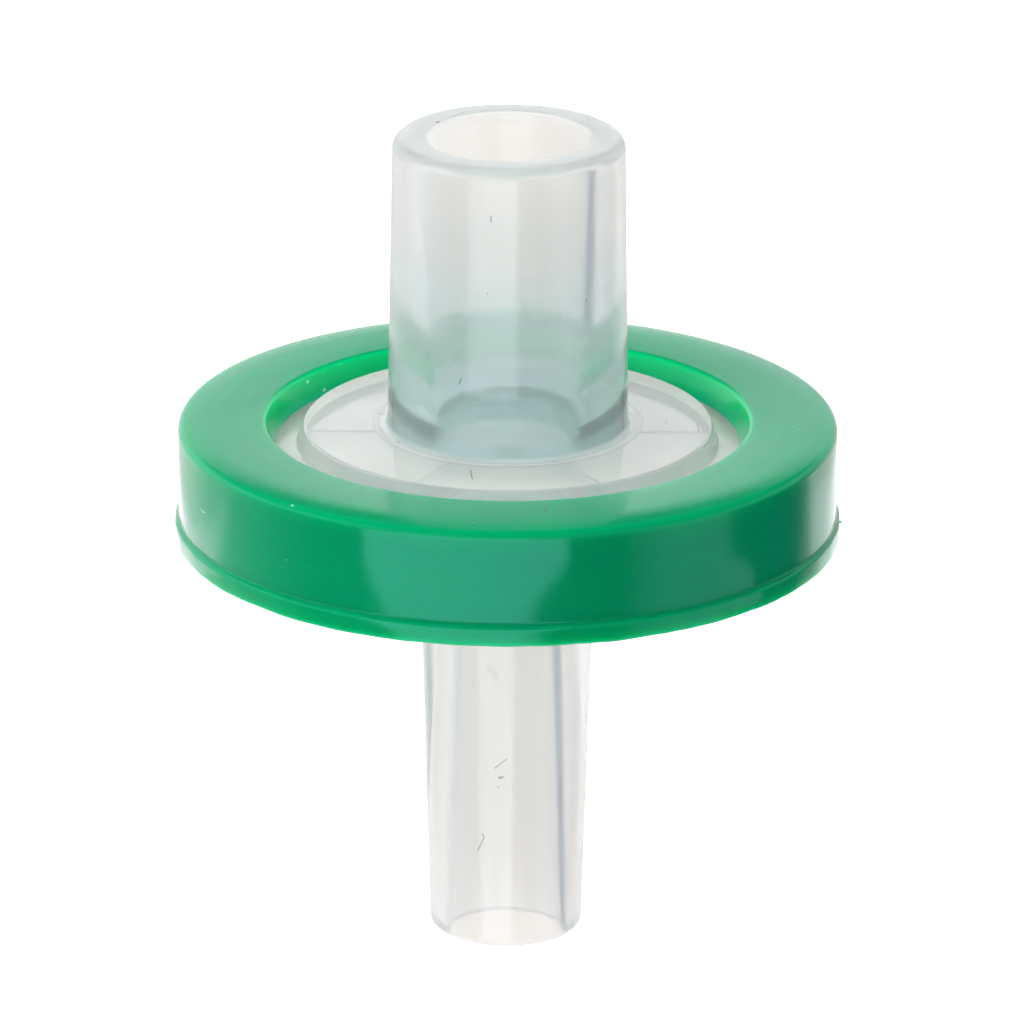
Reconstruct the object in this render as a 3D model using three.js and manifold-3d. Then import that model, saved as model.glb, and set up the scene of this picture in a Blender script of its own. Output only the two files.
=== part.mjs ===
// A 13 mm luer slip syringe filter, in millimetres, +Z up, standing on its outlet tip at the origin.
// Two clear polypropylene shells clamp a membrane disc, and a green polypropylene band is moulded
// round their rims and holds them shut. Liquid enters the socket at the top, spreads between the
// inlet ribs, passes the membrane, runs along the channels of the grid and leaves by the spigot.

import * as THREE from "three";
import { mergeVertices } from "three/addons/utils/BufferGeometryUtils.js";
import Module from "manifold-3d";

const wasm = await Module();
wasm.setup();

// ---- Membrane: its size sets the width of the whole filter ------------------------------------
const MEMBRANE_RADIUS = 6.5;
const MEMBRANE_THICKNESS = 0.18;
const MEMBRANE_CLEARANCE = 0.05; // round the membrane's edge, in the inlet shell's pocket
const CLAMPED_WIDTH = 1.3; // the outer part of the membrane that the shells grip

// ---- Luer connections, both with the 6 % luer cone --------------------------------------------
const LUER_TAPER = 0.06; // diameter change for each millimetre of length
const SPIGOT_TIP_RADIUS = 1.99;
const SPIGOT_LENGTH = 11.16; // outlet tip to the face of the outlet disc
const SPIGOT_WALL = 0.56; // at the tip
const SPIGOT_TIP_ROUND = 0.2;
const SPIGOT_ROOT_FILLET = 0.3;
const LUMEN_DRAFT = 0.03; // radius lost for each millimetre into the spigot
const LUMEN_END_WALL = 1.0; // left between the lumen and the outlet chamber, round the port

const SOCKET_MOUTH_RADIUS = 2.14;
const SOCKET_WALL = 0.88; // at the mouth
const SOCKET_LENGTH = 7.81; // face of the inlet disc to the socket's rim
const SOCKET_DRAFT = 0.015; // radius gained outside for each millimetre down from the rim
const SOCKET_RIM_ROUND = 0.3;
const SOCKET_ROOT_FILLET = 0.12;
const SOCKET_FLOOR_WALL = 0.4; // left between the socket and the inlet chamber, round the port
const SOCKET_FLOOR_FILLET = 0.15;

const PORT_RADIUS = 0.4; // hole from each connection into its chamber
const MOUTH_BREAK = 0.05; // the small bevel round the mouth of the socket and of the lumen

// ---- Plates of the two shells -----------------------------------------------------------------
const POCKET_WALL = 0.65; // round the membrane's pocket, out to the edge of the shells
const INLET_RIM_THICKNESS = 0.97;
const OUTLET_RIM_THICKNESS = 0.78;
const DISC_STEP = 0.56; // how far the middle disc of each shell stands proud of its rim
const DISC_MARGIN = 0.13; // how far the disc reaches past the chamber behind it
const DISC_DRAFT = 0.15; // the disc's wall leans out by this much at its foot
const DISC_EDGE_ROUND = 0.08;

// ---- Chambers, spreading ribs and the grid under the membrane ---------------------------------
const INLET_CHAMBER_DEPTH = 0.3;
const INLET_RIB_COUNT = 6;
const INLET_RIB_WIDTH = 0.4;
const INLET_RIB_START = 0.95; // a rib's inner end, from the axis
const INLET_RIB_CLEARANCE = 0.08; // between a rib and the membrane

const OUTLET_CHAMBER_DEPTH = 0.3;
const GRID_RING_COUNT = 3;
const GRID_RING_WIDTH = 0.5;
const GRID_CHANNEL_COUNT = 6;
const GRID_CHANNEL_WIDTH = 0.6;
const GRID_CHANNEL_SINK = 0.1; // depth of a channel below the chamber's floor

// ---- Overmoulded band -------------------------------------------------------------------------
const BAND_WALL = 1.4; // outside the edge of the shells
const BAND_OVERLAP = 1.145; // how far the band reaches in over the rims
const BAND_LIP = 0.68; // thickness of the band above the inlet rim and below the outlet rim
const BAND_OPENING_DRAFT = 0.275; // each opening widens by this much out to the band's face
const BAND_OPENING_ROUND = 0.12;
const CROWN_WIDTH = 0.7; // the top face rounds over in this width ...
const CROWN_DROP = 0.3; // ... and this height into the outer wall
const FLANGE_PROUD = 0.1; // how far the moulding flange stands out of the outer wall
const FLANGE_THICKNESS = 0.46;
const FLANGE_EDGE_ROUND = 0.06;

// ---- Facets -----------------------------------------------------------------------------------
const TURN_SEGMENTS = 60;
const FILLET_STEPS = 2;
const CROWN_STEPS = 5;

// ---- Radii and heights that follow ------------------------------------------------------------
const chamberRadius = MEMBRANE_RADIUS - CLAMPED_WIDTH;
const pocketRadius = MEMBRANE_RADIUS + MEMBRANE_CLEARANCE;
const shellRadius = pocketRadius + POCKET_WALL;
const discRadius = chamberRadius + DISC_MARGIN;
const bandOpeningRadius = shellRadius - BAND_OVERLAP;
const bandRadius = shellRadius + BAND_WALL;
const flangeRadius = bandRadius + FLANGE_PROUD;
const luerSlope = LUER_TAPER / 2;

const outletRimFace = SPIGOT_LENGTH + DISC_STEP;
const partingPlane = outletRimFace + OUTLET_RIM_THICKNESS; // the shells meet, the membrane rests
const membraneTop = partingPlane + MEMBRANE_THICKNESS;
const inletRimFace = partingPlane + INLET_RIM_THICKNESS;
const inletDiscFace = inletRimFace + DISC_STEP;
const socketRim = inletDiscFace + SOCKET_LENGTH;
const inletChamberCeiling = membraneTop + INLET_CHAMBER_DEPTH;
const outletChamberFloor = partingPlane - OUTLET_CHAMBER_DEPTH;
const bandTop = inletRimFace + BAND_LIP;
const bandBottom = outletRimFace - BAND_LIP;

// A closed section for turning. Each corner is [radius, height, fillet], and a corner with a
// fillet becomes an arc that touches both of its sides.
function section(corners) {
  return corners.flatMap(([radius, height, fillet = 0], index) => {
    const corner = new THREE.Vector2(radius, height);
    if (fillet === 0) return [corner];
    const before = corners.at(index - 1);
    const after = corners[(index + 1) % corners.length];
    const toBefore = new THREE.Vector2(before[0] - radius, before[1] - height).normalize();
    const toAfter = new THREE.Vector2(after[0] - radius, after[1] - height).normalize();
    const halfAngle = Math.acos(toBefore.dot(toAfter)) / 2;
    const towardsCentre = toBefore.clone().add(toAfter).normalize();
    const centre = corner.clone().addScaledVector(towardsCentre, fillet / Math.sin(halfAngle));
    const start = corner.clone().addScaledVector(toBefore, fillet / Math.tan(halfAngle));
    const sweep = Math.sign(toAfter.cross(toBefore)) * (Math.PI - 2 * halfAngle);
    return Array.from({ length: FILLET_STEPS + 1 }, (_, step) =>
      start.clone().rotateAround(centre, (sweep * step) / FILLET_STEPS),
    );
  });
}

// A solid of revolution about Z from a closed section that stays clear of the axis.
function turned(corners) {
  const points = section(corners);
  const closed = [...points, points[0]];
  const outline = THREE.ShapeUtils.area(points) > 0 ? closed : closed.reverse();
  return new THREE.LatheGeometry(outline, TURN_SEGMENTS).rotateX(Math.PI / 2);
}

// ---- Joining and cutting with manifold-3d -----------------------------------------------------
function toManifold(geometry) {
  const bare = geometry.clone();
  bare.deleteAttribute("normal");
  bare.deleteAttribute("uv");
  const merged = mergeVertices(bare, 1e-4);
  const vertProperties = merged.attributes.position.array;
  const triVerts = new Uint32Array(merged.index.array);
  return new wasm.Manifold(new wasm.Mesh({ numProp: 3, vertProperties, triVerts }));
}

function toGeometry(solid) {
  const mesh = solid.getMesh();
  const geometry = new THREE.BufferGeometry();
  geometry.setAttribute("position", new THREE.BufferAttribute(mesh.vertProperties, 3));
  geometry.setIndex(new THREE.BufferAttribute(mesh.triVerts, 1));
  return geometry.toNonIndexed();
}

// Straight bars that point away from the axis, spread evenly round it from a first angle.
function spokes({ count, firstAngle, start, end, width, bottom, top }) {
  return Array.from({ length: count }, (_, index) => {
    const bar = new THREE.BoxGeometry(end - start, width, top - bottom);
    bar.translate((start + end) / 2, 0, (bottom + top) / 2);
    return toManifold(bar.rotateZ(firstAngle + (index * 2 * Math.PI) / count));
  });
}

// ---- Inlet shell: luer socket, disc, pocket for the membrane and spreading ribs ---------------
function inletShell() {
  const socketOuterRadius = SOCKET_MOUTH_RADIUS + SOCKET_WALL;
  const socketFloor = inletChamberCeiling + SOCKET_FLOOR_WALL;
  const socketFloorRadius = SOCKET_MOUTH_RADIUS - luerSlope * (socketRim - socketFloor);
  const body = turned([
    [PORT_RADIUS, inletChamberCeiling],
    [chamberRadius, inletChamberCeiling],
    [chamberRadius, membraneTop],
    [pocketRadius, membraneTop],
    [pocketRadius, partingPlane],
    [shellRadius, partingPlane],
    [shellRadius, inletRimFace],
    [discRadius + DISC_DRAFT, inletRimFace],
    [discRadius, inletDiscFace, DISC_EDGE_ROUND],
    [socketOuterRadius + SOCKET_DRAFT * SOCKET_LENGTH, inletDiscFace, SOCKET_ROOT_FILLET],
    [socketOuterRadius, socketRim, SOCKET_RIM_ROUND],
    [SOCKET_MOUTH_RADIUS + MOUTH_BREAK, socketRim],
    [SOCKET_MOUTH_RADIUS, socketRim - MOUTH_BREAK],
    [socketFloorRadius, socketFloor, SOCKET_FLOOR_FILLET],
    [PORT_RADIUS, socketFloor],
  ]);
  // Each rib runs into the plate above it and into the wall round the chamber.
  const ribs = spokes({
    count: INLET_RIB_COUNT,
    firstAngle: 0,
    start: INLET_RIB_START,
    end: (chamberRadius + pocketRadius) / 2,
    width: INLET_RIB_WIDTH,
    bottom: membraneTop + INLET_RIB_CLEARANCE,
    top: (inletChamberCeiling + inletRimFace) / 2,
  });
  return toGeometry(ribs.reduce((shell, rib) => shell.add(rib), toManifold(body)));
}

// ---- Outlet shell: luer spigot, disc and the grid that carries the membrane -------------------
function outletShell() {
  const lumenTipRadius = SPIGOT_TIP_RADIUS - SPIGOT_WALL;
  const lumenEnd = outletChamberFloor - LUMEN_END_WALL;
  const ringPitch = (chamberRadius - PORT_RADIUS) / (GRID_RING_COUNT + 1);
  const gridRings = Array.from({ length: GRID_RING_COUNT }, (_, index) => {
    const middle = PORT_RADIUS + ringPitch * (index + 1);
    return [
      [middle - GRID_RING_WIDTH / 2, outletChamberFloor],
      [middle - GRID_RING_WIDTH / 2, partingPlane],
      [middle + GRID_RING_WIDTH / 2, partingPlane],
      [middle + GRID_RING_WIDTH / 2, outletChamberFloor],
    ];
  });
  const body = turned([
    [PORT_RADIUS, outletChamberFloor],
    ...gridRings.flat(),
    [chamberRadius, outletChamberFloor],
    [chamberRadius, partingPlane],
    [shellRadius, partingPlane],
    [shellRadius, outletRimFace],
    [discRadius + DISC_DRAFT, outletRimFace],
    [discRadius, SPIGOT_LENGTH, DISC_EDGE_ROUND],
    [SPIGOT_TIP_RADIUS + luerSlope * SPIGOT_LENGTH, SPIGOT_LENGTH, SPIGOT_ROOT_FILLET],
    [SPIGOT_TIP_RADIUS, 0, SPIGOT_TIP_ROUND],
    [lumenTipRadius + MOUTH_BREAK, 0],
    [lumenTipRadius, MOUTH_BREAK],
    [lumenTipRadius - LUMEN_DRAFT * lumenEnd, lumenEnd],
    [PORT_RADIUS, lumenEnd],
  ]);
  const channels = spokes({
    count: GRID_CHANNEL_COUNT,
    firstAngle: Math.PI / GRID_CHANNEL_COUNT,
    start: 0,
    end: chamberRadius - ringPitch / 2,
    width: GRID_CHANNEL_WIDTH,
    bottom: outletChamberFloor - GRID_CHANNEL_SINK,
    top: membraneTop,
  });
  return toGeometry(channels.reduce((shell, bar) => shell.subtract(bar), toManifold(body)));
}

// ---- Membrane: a punched disc, lying on the outlet shell ---------------------------------------
function membraneDisc() {
  const disc = new THREE.CylinderGeometry(
    MEMBRANE_RADIUS,
    MEMBRANE_RADIUS,
    MEMBRANE_THICKNESS,
    TURN_SEGMENTS,
  );
  return disc.rotateX(Math.PI / 2);
}

// ---- Band: a C-shaped section that grips both rims --------------------------------------------
function bandRing() {
  const openingAtFace = bandOpeningRadius + BAND_OPENING_DRAFT;
  const crown = Array.from({ length: CROWN_STEPS + 1 }, (_, step) => {
    const angle = (Math.PI / 2) * (1 - step / CROWN_STEPS);
    return [
      bandRadius - CROWN_WIDTH * (1 - Math.cos(angle)),
      bandTop - CROWN_DROP * (1 - Math.sin(angle)),
    ];
  });
  const flangeTop = bandBottom + FLANGE_THICKNESS;
  return turned([
    [shellRadius, outletRimFace],
    [shellRadius, inletRimFace],
    [bandOpeningRadius, inletRimFace],
    [openingAtFace, bandTop, BAND_OPENING_ROUND],
    ...crown,
    [bandRadius, flangeTop + FLANGE_PROUD],
    [flangeRadius, flangeTop],
    [flangeRadius, bandBottom, FLANGE_EDGE_ROUND],
    [openingAtFace, bandBottom, BAND_OPENING_ROUND],
    [bandOpeningRadius, outletRimFace],
  ]);
}

// ---- Materials --------------------------------------------------------------------------------
const clearPolypropylene = new THREE.MeshStandardMaterial({
  color: 0xe3e6e2,
  roughness: 0.18,
  metalness: 0,
  transparent: true,
  opacity: 0.45,
});
const greenPolypropylene = new THREE.MeshStandardMaterial({
  color: 0x12a564,
  roughness: 0.3,
  metalness: 0,
});
const whiteMembrane = new THREE.MeshStandardMaterial({
  color: 0xf3f3ef,
  roughness: 0.9,
  metalness: 0,
});

// ---- Assembly ---------------------------------------------------------------------------------
function piece(name, geometry, material, height = 0) {
  const mesh = new THREE.Mesh(geometry, material);
  mesh.name = name;
  mesh.position.z = height;
  return mesh;
}

const syringeFilter = new THREE.Group();
syringeFilter.add(
  piece("inlet_housing", inletShell(), clearPolypropylene),
  piece("filter_membrane", membraneDisc(), whiteMembrane, (partingPlane + membraneTop) / 2),
  piece("outlet_housing", outletShell(), clearPolypropylene),
  piece("overmould_band", bandRing(), greenPolypropylene),
);

export default syringeFilter;
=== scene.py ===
# %% [markdown]
# # A small syringe filter
# A disposable filter that a syringe pushes liquid through. Two shells of clear polypropylene hold a
# round membrane between them, and a green band is moulded round their rims. This script dresses the
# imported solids: it models each piece again with round edges and fine facets, gives each plastic its
# look, and sets up a small studio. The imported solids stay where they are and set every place.

# %% Load the frame
import math

import bmesh
import bpy
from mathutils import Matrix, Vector


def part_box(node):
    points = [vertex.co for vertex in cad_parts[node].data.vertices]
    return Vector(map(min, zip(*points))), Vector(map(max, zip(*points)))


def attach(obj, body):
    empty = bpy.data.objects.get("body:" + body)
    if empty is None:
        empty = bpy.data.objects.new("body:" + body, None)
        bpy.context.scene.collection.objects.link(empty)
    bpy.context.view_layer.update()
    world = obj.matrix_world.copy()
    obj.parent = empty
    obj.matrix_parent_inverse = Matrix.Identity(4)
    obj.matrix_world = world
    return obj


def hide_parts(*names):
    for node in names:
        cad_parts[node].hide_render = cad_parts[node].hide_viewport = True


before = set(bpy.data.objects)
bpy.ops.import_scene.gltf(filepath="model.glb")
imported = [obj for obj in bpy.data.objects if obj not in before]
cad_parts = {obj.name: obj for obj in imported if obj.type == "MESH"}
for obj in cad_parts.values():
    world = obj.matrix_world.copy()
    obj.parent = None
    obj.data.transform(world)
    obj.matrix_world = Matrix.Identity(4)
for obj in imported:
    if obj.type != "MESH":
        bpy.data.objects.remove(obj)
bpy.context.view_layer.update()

print("nodes:", sorted(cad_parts))

# %% [markdown]
# ## Sizes
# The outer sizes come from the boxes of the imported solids. What lies inside a box, such as a wall
# or a draft, has a name in millimetres. Blender's bevel and merge tools expect pieces about as
# large as a hand, so everything is modelled with one unit for a millimetre and shrunk at the end.

# %% Sizes from the frame
MM = 0.001


def box_mm(node):
    """A node's lowest and highest corner, in millimetres."""
    low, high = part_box(node)
    return low / MM, high / MM


shell_radius = box_mm("inlet_housing")[1].x
parting_plane = box_mm("outlet_housing")[1].z
socket_rim = box_mm("inlet_housing")[1].z
membrane_radius = box_mm("filter_membrane")[1].x
membrane_top = box_mm("filter_membrane")[1].z
flange_radius = box_mm("overmould_band")[1].x
band_bottom = box_mm("overmould_band")[0].z
band_top = box_mm("overmould_band")[1].z
print(f"shells {2 * shell_radius:.1f} mm across, {socket_rim:.2f} mm tall, "
      f"membrane {2 * membrane_radius:.1f} mm, band {2 * flange_radius:.1f} mm")

# %% Sizes inside the boxes, in millimetres
LUER_SLOPE = 0.03  # radius change for each millimetre of length
SOCKET_MOUTH_RADIUS = 2.14
SOCKET_WALL = 0.88
SOCKET_DRAFT = 0.015
SPIGOT_TIP_RADIUS = 1.99
SPIGOT_WALL = 0.56
SPIGOT_LENGTH = 11.16
PORT_RADIUS = 0.4
DISC_STEP = 0.56
DISC_DRAFT = 0.15
DISC_RADIUS = 5.33
CHAMBER_RADIUS = 5.2
CHAMBER_DEPTH = 0.3
BAND_LIP = 0.68
BAND_OVERLAP = 1.145

inlet_rim_face = band_top - BAND_LIP
outlet_rim_face = band_bottom + BAND_LIP
disc_face = inlet_rim_face + DISC_STEP
inlet_ceiling = membrane_top + CHAMBER_DEPTH
outlet_floor = parting_plane - CHAMBER_DEPTH
socket_outer = SOCKET_MOUTH_RADIUS + SOCKET_WALL
print(f"middle disc at {disc_face:.2f} mm, socket {2 * socket_outer:.2f} mm outside")

# %% [markdown]
# ## Tools for turned pieces
# Every shell of this filter is round, so one way of working serves them all: a circle is added,
# and its edge is extruded and resized from corner to corner of the section, as a potter pulls a
# wall. The last ring is bridged to the first. Then the sharp rings are picked by their place and
# bevelled, because a mould is cut with round tools and leaves no knife edge. Spin would do the same
# from a drawn section, but it leaves a seam to merge.

# %% A turned body
TURN_SEGMENTS = 180
NEAR = 1e-3  # millimetres within which a point counts as being in its place
SOFT_EDGE = 0.06  # where the rounding starts on most edges of a moulding
CRISP_EDGE = 0.03  # and on parting edges and small steps


def select_only(piece):
    """Selects one piece and makes it the active one, which operators work on."""
    bpy.ops.object.select_all(action="DESELECT")
    piece.select_set(True)
    bpy.context.view_layer.objects.active = piece


def edit(piece):
    """Opens one piece in edit mode, with edges to be picked."""
    select_only(piece)
    bpy.ops.object.mode_set(mode="EDIT")
    bpy.ops.mesh.select_mode(type="EDGE")


def turned(name, corners):
    """A ring-shaped body whose section runs through the corners.

    Each corner is a radius and a height, and may add how far from it its rounding starts.
    """
    bpy.ops.object.select_all(action="DESELECT")
    first_radius, first_height = corners[0][:2]
    bpy.ops.mesh.primitive_circle_add(
        vertices=TURN_SEGMENTS, radius=first_radius, location=(0, 0, first_height)
    )
    piece = bpy.context.object
    piece.name = name
    bpy.ops.object.transform_apply(location=True)
    edit(piece)
    bpy.ops.mesh.select_all(action="SELECT")
    for (radius, height, *_), (next_radius, next_height, *_) in zip(corners, corners[1:]):
        bpy.ops.mesh.extrude_region_move(
            TRANSFORM_OT_translate={"value": (0, 0, next_height - height)}
        )
        growth = next_radius / radius
        bpy.ops.transform.resize(value=(growth, growth, 1), center_override=(0, 0, next_height))
    bpy.ops.mesh.select_all(action="DESELECT")
    bpy.ops.mesh.select_non_manifold()
    bpy.ops.mesh.bridge_edge_loops()
    bpy.ops.mesh.select_all(action="SELECT")
    bpy.ops.mesh.normals_make_consistent(inside=False)
    for radius, height, *rounding in corners:
        if rounding:
            round_ring(piece, radius, height, *rounding)
    bpy.ops.object.mode_set(mode="OBJECT")
    return piece


# %% Round one ring of edges
def pick_ring(piece, radius, height):
    """Selects the ring of edges at that radius and height, in edit mode."""
    bpy.ops.mesh.select_all(action="DESELECT")
    shape = bmesh.from_edit_mesh(piece.data)
    for edge in shape.edges:
        edge.select = all(
            abs(math.hypot(v.co.x, v.co.y) - radius) < NEAR and abs(v.co.z - height) < NEAR
            for v in edge.verts
        )
    shape.select_flush_mode()
    bmesh.update_edit_mesh(piece.data)


def round_ring(piece, radius, height, setback, steps=5):
    """Bevels one ring of edges. The rounding starts that far from the corner on both sides."""
    pick_ring(piece, radius, height)
    bpy.ops.mesh.bevel(
        offset=setback, offset_type="OFFSET", segments=steps, profile=0.5, affect="EDGES"
    )


# %% Join or cut with a second body
def combine(piece, tool, operation):
    """Joins the tool to the piece, or cuts it away, and removes the tool."""
    select_only(piece)
    cut = piece.modifiers.new("combine", "BOOLEAN")
    cut.operation = operation
    cut.solver = "EXACT"
    cut.object = tool
    bpy.ops.object.modifier_apply(modifier=cut.name)
    bpy.data.objects.remove(tool)


# %% Hand a finished piece to the frame
SMOOTH_ANGLE = 30  # degrees: facets that meet at less are shaded as one surface


def finish_piece(piece, material, node):
    """Shrinks a piece from millimetres to metres, smooths it and hands it to the frame."""
    select_only(piece)
    piece.scale = (MM, MM, MM)
    bpy.ops.object.transform_apply(location=True, rotation=True, scale=True)
    bpy.ops.object.shade_smooth_by_angle(angle=math.radians(SMOOTH_ANGLE))
    weighted = piece.modifiers.new("weighted normals", "WEIGHTED_NORMAL")
    weighted.mode = "FACE_AREA"
    weighted.weight = 100
    weighted.keep_sharp = True
    bpy.ops.object.modifier_apply(modifier=weighted.name)
    piece.data.materials.clear()
    piece.data.materials.append(material)
    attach(piece, "root")
    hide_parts(node)
    print(f"{piece.name}: {len(piece.data.polygons)} faces")


# %% [markdown]
# ## Tools for materials
# The band and the shells are as they left the mould, and the membrane is a cast sheet. Their colour
# hardly varies, and their character sits in the surface: the turning lines of the mould, a slight
# waviness, a grain. Each pattern reads the point in millimetres, so its scale is a real size and
# stays so on every piece.

# %% Colours and nodes
def linear(hex_colour):
    """A colour given in sRGB hex, as the linear values that shaders work in."""
    channels = [int(hex_colour[i : i + 2], 16) / 255 for i in (1, 3, 5)]
    return [c / 12.92 if c <= 0.04045 else ((c + 0.055) / 1.055) ** 2.4 for c in channels] + [1]


def new_material(name):
    """A new material, its node tree and its shader."""
    material = bpy.data.materials.new(name)
    material.use_nodes = True
    return material, material.node_tree, material.node_tree.nodes["Principled BSDF"]


def add_node(tree, kind, settings=None, **links):
    """Adds a node, sets its properties, and fills or links its inputs by their names or numbers."""
    node = tree.nodes.new(kind)
    for key, value in (settings or {}).items():
        setattr(node, key, value)
    for key, value in links.items():
        by_number = key[0] == "i" and key[1:].isdigit()
        socket = node.inputs[int(key[1:])] if by_number else node.inputs[key.replace("_", " ")]
        if isinstance(value, bpy.types.NodeSocket):
            tree.links.new(value, socket)
        else:
            socket.default_value = value
    return node


# %% Where a point lies on the filter
def places(tree):
    """The point in millimetres, its distance from the filter's axis, and its height."""
    metres = add_node(tree, "ShaderNodeTexCoord").outputs["Object"]
    point = add_node(
        tree, "ShaderNodeVectorMath", {"operation": "SCALE"}, Vector=metres, Scale=1 / MM
    ).outputs[0]
    flat = add_node(
        tree, "ShaderNodeVectorMath", {"operation": "MULTIPLY"}, i0=point, i1=(1, 1, 0)
    ).outputs[0]
    radius = add_node(tree, "ShaderNodeVectorMath", {"operation": "LENGTH"}, i0=flat)
    height = add_node(tree, "ShaderNodeSeparateXYZ", Vector=point)
    return point, radius.outputs["Value"], height.outputs["Z"]


# %% Height fields
def uneven(tree, vector, size, depth, detail=1.0):
    """Soft bumps about that size apart and up to that depth, both in millimetres."""
    field = add_node(
        tree, "ShaderNodeTexNoise", Vector=vector, Scale=1 / size, Detail=detail
    ).outputs["Fac"]
    deep = add_node(tree, "ShaderNodeMath", {"operation": "MULTIPLY"}, i0=field, i1=depth)
    return deep.outputs[0]


def relief(tree, shader, *fields):
    """Adds height fields in millimetres and bumps the shader's surface with the sum."""
    total = fields[0]
    for field in fields[1:]:
        total = add_node(tree, "ShaderNodeMath", i0=total, i1=field).outputs[0]
    bump = add_node(tree, "ShaderNodeBump", Strength=1.0, Distance=MM, Height=total)
    tree.links.new(bump.outputs["Normal"], shader.inputs["Normal"])


# %% [markdown]
# ## Scuffs and specks
# A filter that has been handled carries a few hairline scratches, crumbs and dust specks. Each is a
# short line between two points on the surface, and one group of nodes measures how far a point of
# the surface is from such a line. Painting them in the material keeps the mesh clean. An image
# would do too, but this needs no picture and stays sharp at any distance.

# %% The scuff group
def scuff_group():
    """Cover of one scuff: its strength on the line from start to end, and 0 past its half width."""
    group = bpy.data.node_groups.new("scuff", "ShaderNodeTree")
    for name in ("Point", "Start", "End"):
        group.interface.new_socket(name, in_out="INPUT", socket_type="NodeSocketVector")
    for name in ("Half Width", "Strength"):
        group.interface.new_socket(name, in_out="INPUT", socket_type="NodeSocketFloat")
    group.interface.new_socket("Cover", in_out="OUTPUT", socket_type="NodeSocketFloat")
    given = add_node(group, "NodeGroupInput").outputs
    along, reach = (
        add_node(
            group, "ShaderNodeVectorMath", {"operation": "SUBTRACT"},
            i0=given[far_end], i1=given["Start"],
        ).outputs[0]
        for far_end in ("End", "Point")
    )
    shadow, square = (
        add_node(group, "ShaderNodeVectorMath", {"operation": "DOT_PRODUCT"}, i0=a, i1=along)
        for a in (reach, along)
    )
    share = add_node(
        group, "ShaderNodeMath", {"operation": "DIVIDE", "use_clamp": True},
        i0=shadow.outputs["Value"], i1=square.outputs["Value"],
    )
    nearest = add_node(
        group, "ShaderNodeVectorMath", {"operation": "SCALE"}, Vector=along, Scale=share.outputs[0]
    )
    gap = add_node(
        group, "ShaderNodeVectorMath", {"operation": "DISTANCE"}, i0=reach, i1=nearest.outputs[0]
    )
    cover = add_node(
        group, "ShaderNodeMapRange", {"interpolation_type": "SMOOTHSTEP"},
        Value=gap.outputs["Value"], From_Min=0.0, From_Max=given["Half Width"],
        To_Min=given["Strength"], To_Max=0.0,
    )
    add_node(group, "NodeGroupOutput", Cover=cover.outputs[0])
    return group


def scuffed(tree, point, scuffs):
    """The cover of a list of scuffs: start, end, half width in millimetres, and strength."""
    total = 0.0
    for start, end, half_width, strength in scuffs:
        scuff = add_node(
            tree, "ShaderNodeGroup", {"node_tree": scuff_nodes},
            Point=point, Start=start, End=end, Half_Width=half_width, Strength=strength,
        )
        total = add_node(
            tree, "ShaderNodeMath", {"operation": "MAXIMUM"}, i0=total, i1=scuff.outputs[0]
        ).outputs[0]
    return total


scuff_nodes = scuff_group()
print(f"scuff group: {len(scuff_nodes.nodes)} nodes")


# %% Places on the pieces, by angle
def place(degrees, radius, height):
    """A point by its angle from the front (right is positive), radius and height."""
    turn = math.radians(degrees)
    return (radius * math.sin(turn), -radius * math.cos(turn), height)


def on_socket(degrees, height):
    return place(degrees, socket_outer + SOCKET_DRAFT * (socket_rim - height), height)


def on_spigot(degrees, height):
    return place(degrees, SPIGOT_TIP_RADIUS + LUER_SLOPE * height, height)


def on_disc(degrees, radius):
    return place(degrees, radius, disc_face)


# %% [markdown]
# ## The green plastic
# Moulded polypropylene with green colouring. It is satin, not glossy, because polypropylene shrinks
# away from the mould as it cools, and light goes a little way in, so thin edges glow. Principled
# with full subsurface gives the glow. The faces of the mould were turned on a lathe, so its fine
# lines run round the band, and a slight waviness of the wall makes the edges of reflections waver.
# The lip round the opening is thin and light passes right through it; that glow is painted into its
# colour as the brightest green.

# %% Colours and patterns of the green plastic, lengths in millimetres
POLYPROPYLENE_IOR = 1.49
GREEN = ("#007C56", "#00905A")
GREEN_ROUGHNESS = 0.15
GREEN_SHEEN = "#95FFFF"  # colour of the reflections that are seen head-on
GLOW_RADIUS = (0.2, 1.0, 0.6)  # green light goes farthest into the plastic
GLOW_REACH = 1.6
# painted glow: the thin lip's green is made brighter to stand in for light passing through it
PAINTED_GLOW_LIP_GREEN = "#00B06C"
PAINTED_GLOW_RADII = (6.42, 6.3)  # the painted glow begins at the first radius and is full at the second
TURNING_PITCH = 0.16  # the lathe's feed is nearer 0.05 mm, drawn coarser so that it shows
TURNING_STRETCH = 0.03  # along the line the pattern runs thirty times as far
TURNING_DEPTH = 0.0014
WALL_WAVE = 1.6
WALL_WAVE_DEPTH = 0.008
GREEN_GRAIN = 0.12  # the mould's grain is nearer 0.02 mm, drawn coarser so that it shows
GREEN_GRAIN_DEPTH = 0.001
PIGMENT_CLOUD = 3.0
STREAK_SHARE = 0.5  # the rest of the change between the two greens is cloudy
DUST_SPACING = 1.1
DUST_RADIUS = 0.03
DUST_COVER = 0.6

# %% Specks on the band
PALE_SPECK = "#C8E6D8"
DARK_SPECK = "#3A3A30"
WALL_INSET = 0.1  # the wall stands this far inside the flange's edge

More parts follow.
